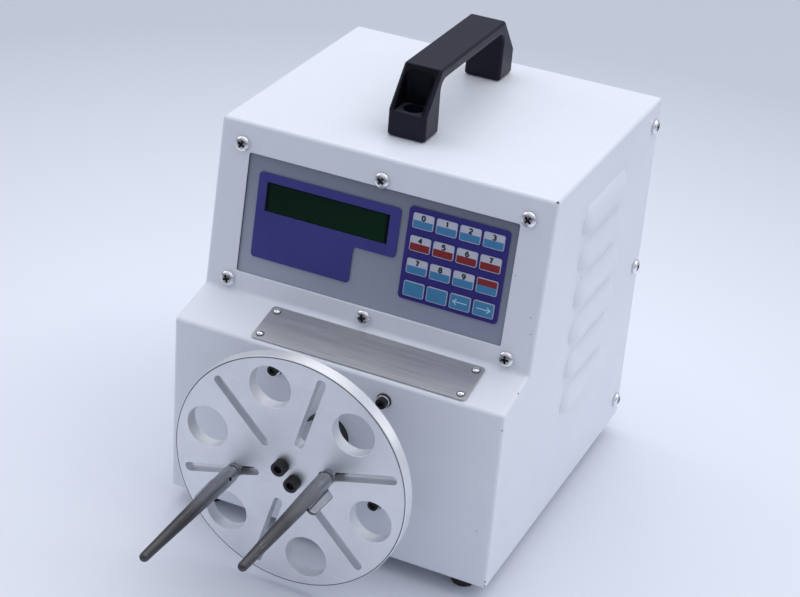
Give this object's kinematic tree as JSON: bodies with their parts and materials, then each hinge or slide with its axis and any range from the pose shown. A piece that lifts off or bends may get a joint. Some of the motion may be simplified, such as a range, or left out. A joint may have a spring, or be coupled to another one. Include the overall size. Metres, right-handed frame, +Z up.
{
  "type": "wire coiling machine",
  "caption": "Tabletop machine with a stepped white case, keypad panel and carry handle, whose motor turns a slotted disc with tapered winding fingers.",
  "frame": {"origin": "on the surface it stands on, under the middle of the machine's overall box", "axes": "+Z up, -Y the front with the winding disc, +X to the right of a person who faces the front"},
  "size_m": [0.207, 0.361, 0.2659],
  "materials": {
    "white_case": "smooth white powder coat, slightly cool",
    "grey_panel": "matt slate grey paint",
    "violet_print": "violet-blue printed film with a satin face",
    "key_print": "printed film over the key: pale, light blue or red, with a pale outline",
    "display_glass": "dark green display window, glossy",
    "module_metal": "black module frame",
    "circuit_board": "green solder mask",
    "nameplate_steel": "brushed along its length, bare",
    "black_plastic": "fine moulded texture",
    "black_rubber": "matt moulded rubber",
    "black_oxide": "black oxide, satin",
    "disc_aluminium": "turned and blasted aluminium with a bright edge",
    "finger_steel": "dark turned steel, fine rings",
    "bright_steel": "ground steel",
    "zinc_steel": "zinc plated",
    "core_steel": "laminated core steel"
  },
  "bodies": {
    "machine": {"base_plate": "zinc_steel", "carry_handle": "black_plastic", "control_board": "circuit_board", "display_module": "module_metal", "display_window": "display_glass", "front_bearing": "bright_steel", "front_handle_screw": "black_oxide", "front_left_foot": "black_rubber", "front_right_foot": "black_rubber", "function_label": "violet_print", "keypad_overlay": "violet_print", "main_cover": "white_case", "motor_front_bell": "black_oxide", "motor_rear_bell": "black_oxide", "motor_stator": "core_steel", "nameplate": "nameplate_steel", "panel_plate": "grey_panel", "power_inlet": "black_plastic", "power_supply": "zinc_steel", "rear_bearing": "bright_steel", "rear_handle_screw": "black_oxide", "rear_left_foot": "black_rubber", "rear_panel": "white_case", "rear_right_foot": "black_rubber", "switch_housing": "black_plastic"},
    "switch_rocker": {"switch_rocker": "black_plastic"},
    "head": {"spindle": "bright_steel", "rotor": "core_steel", "disc_hub": "disc_aluminium", "winding_disc": "disc_aluminium", "upper_disc_screw": "black_oxide", "lower_disc_screw": "black_oxide"},
    "left_slider": {"left_slot_nut": "zinc_steel", "left_friction_washer": "black_plastic"},
    "left_arm": {"left_stud": "bright_steel", "left_winding_finger": "finger_steel"},
    "left_lever": {"left_release_lever": "finger_steel", "left_lever_pin": "bright_steel"},
    "right_slider": {"right_slot_nut": "zinc_steel", "right_friction_washer": "black_plastic"},
    "right_arm": {"right_stud": "bright_steel", "right_winding_finger": "finger_steel"},
    "right_lever": {"right_release_lever": "finger_steel", "right_lever_pin": "bright_steel"},
    "key_row_1_column_1": {"key_row_1_column_1": "key_print"},
    "key_row_1_column_2": {"key_row_1_column_2": "key_print"},
    "key_row_1_column_3": {"key_row_1_column_3": "key_print"},
    "key_row_1_column_4": {"key_row_1_column_4": "key_print"},
    "key_row_2_column_1": {"key_row_2_column_1": "key_print"},
    "key_row_2_column_2": {"key_row_2_column_2": "key_print"},
    "key_row_2_column_3": {"key_row_2_column_3": "key_print"},
    "key_row_2_column_4": {"key_row_2_column_4": "key_print"},
    "key_row_3_column_1": {"key_row_3_column_1": "key_print"},
    "key_row_3_column_2": {"key_row_3_column_2": "key_print"},
    "key_row_3_column_3": {"key_row_3_column_3": "key_print"},
    "key_row_3_column_4": {"key_row_3_column_4": "key_print"},
    "key_row_4_column_1": {"key_row_4_column_1": "key_print"},
    "key_row_4_column_2": {"key_row_4_column_2": "key_print"},
    "key_row_4_column_3": {"key_row_4_column_3": "key_print"},
    "key_row_4_column_4": {"key_row_4_column_4": "key_print"}
  },
  "joints": [
    {"name": "disc_spin", "type": "hinge", "parent": "machine", "child": "head", "pos_m": [-0.002, -0.03956, 0.0776], "axis": [0, -1, 0], "continuous": true},
    {"name": "left_arm_slide", "type": "slide", "parent": "head", "child": "left_slider", "axis": [-0.9659, 0, -0.2588], "range_m": [-0.0124, 0.0289]},
    {"name": "left_arm_turn", "type": "hinge", "parent": "left_slider", "child": "left_arm", "pos_m": [-0.03436, -0.08496, 0.06893], "axis": [0, -1, 0], "continuous": true},
    {"name": "left_lever_open", "type": "hinge", "parent": "left_arm", "child": "left_lever", "pos_m": [-0.03507, -0.09796, 0.06857], "axis": [0.454, 0, -0.891], "range_deg": [0, 80]},
    {"name": "right_arm_slide", "type": "slide", "parent": "head", "child": "right_slider", "axis": [0.9659, 0, 0.2588], "range_m": [-0.0034, 0.0379]},
    {"name": "right_arm_turn", "type": "hinge", "parent": "right_slider", "child": "right_arm", "pos_m": [0.02167, -0.08496, 0.08394], "axis": [0, -1, 0], "continuous": true},
    {"name": "right_lever_open", "type": "hinge", "parent": "right_arm", "child": "right_lever", "pos_m": [0.02236, -0.09796, 0.08355], "axis": [0.4848, 0, 0.8746], "range_deg": [0, 80]},
    {"name": "press_row_1_column_1", "type": "slide", "parent": "machine", "child": "key_row_1_column_1", "axis": [0, 0.9889, -0.1483], "range_m": [0, 0.0005], "stiffness_N_per_m": 1500},
    {"name": "press_row_1_column_2", "type": "slide", "parent": "machine", "child": "key_row_1_column_2", "axis": [0, 0.9889, -0.1483], "range_m": [0, 0.0005], "stiffness_N_per_m": 1500},
    {"name": "press_row_1_column_3", "type": "slide", "parent": "machine", "child": "key_row_1_column_3", "axis": [0, 0.9889, -0.1483], "range_m": [0, 0.0005], "stiffness_N_per_m": 1500},
    {"name": "press_row_1_column_4", "type": "slide", "parent": "machine", "child": "key_row_1_column_4", "axis": [0, 0.9889, -0.1483], "range_m": [0, 0.0005], "stiffness_N_per_m": 1500},
    {"name": "press_row_2_column_1", "type": "slide", "parent": "machine", "child": "key_row_2_column_1", "axis": [0, 0.9889, -0.1483], "range_m": [0, 0.0005], "stiffness_N_per_m": 1500},
    {"name": "press_row_2_column_2", "type": "slide", "parent": "machine", "child": "key_row_2_column_2", "axis": [0, 0.9889, -0.1483], "range_m": [0, 0.0005], "stiffness_N_per_m": 1500},
    {"name": "press_row_2_column_3", "type": "slide", "parent": "machine", "child": "key_row_2_column_3", "axis": [0, 0.9889, -0.1483], "range_m": [0, 0.0005], "stiffness_N_per_m": 1500},
    {"name": "press_row_2_column_4", "type": "slide", "parent": "machine", "child": "key_row_2_column_4", "axis": [0, 0.9889, -0.1483], "range_m": [0, 0.0005], "stiffness_N_per_m": 1500},
    {"name": "press_row_3_column_1", "type": "slide", "parent": "machine", "child": "key_row_3_column_1", "axis": [0, 0.9889, -0.1483], "range_m": [0, 0.0005], "stiffness_N_per_m": 1500},
    {"name": "press_row_3_column_2", "type": "slide", "parent": "machine", "child": "key_row_3_column_2", "axis": [0, 0.9889, -0.1483], "range_m": [0, 0.0005], "stiffness_N_per_m": 1500},
    {"name": "press_row_3_column_3", "type": "slide", "parent": "machine", "child": "key_row_3_column_3", "axis": [0, 0.9889, -0.1483], "range_m": [0, 0.0005], "stiffness_N_per_m": 1500},
    {"name": "press_row_3_column_4", "type": "slide", "parent": "machine", "child": "key_row_3_column_4", "axis": [0, 0.9889, -0.1483], "range_m": [0, 0.0005], "stiffness_N_per_m": 1500},
    {"name": "press_row_4_column_1", "type": "slide", "parent": "machine", "child": "key_row_4_column_1", "axis": [0, 0.9889, -0.1483], "range_m": [0, 0.0005], "stiffness_N_per_m": 1500},
    {"name": "press_row_4_column_2", "type": "slide", "parent": "machine", "child": "key_row_4_column_2", "axis": [0, 0.9889, -0.1483], "range_m": [0, 0.0005], "stiffness_N_per_m": 1500},
    {"name": "press_row_4_column_3", "type": "slide", "parent": "machine", "child": "key_row_4_column_3", "axis": [0, 0.9889, -0.1483], "range_m": [0, 0.0005], "stiffness_N_per_m": 1500},
    {"name": "press_row_4_column_4", "type": "slide", "parent": "machine", "child": "key_row_4_column_4", "axis": [0, 0.9889, -0.1483], "range_m": [0, 0.0005], "stiffness_N_per_m": 1500},
    {"name": "rocker_tip", "type": "hinge", "parent": "machine", "child": "switch_rocker", "pos_m": [-0.018, 0.17644, 0.0553], "axis": [1, 0, 0], "range_deg": [0, 16]}
  ]
}
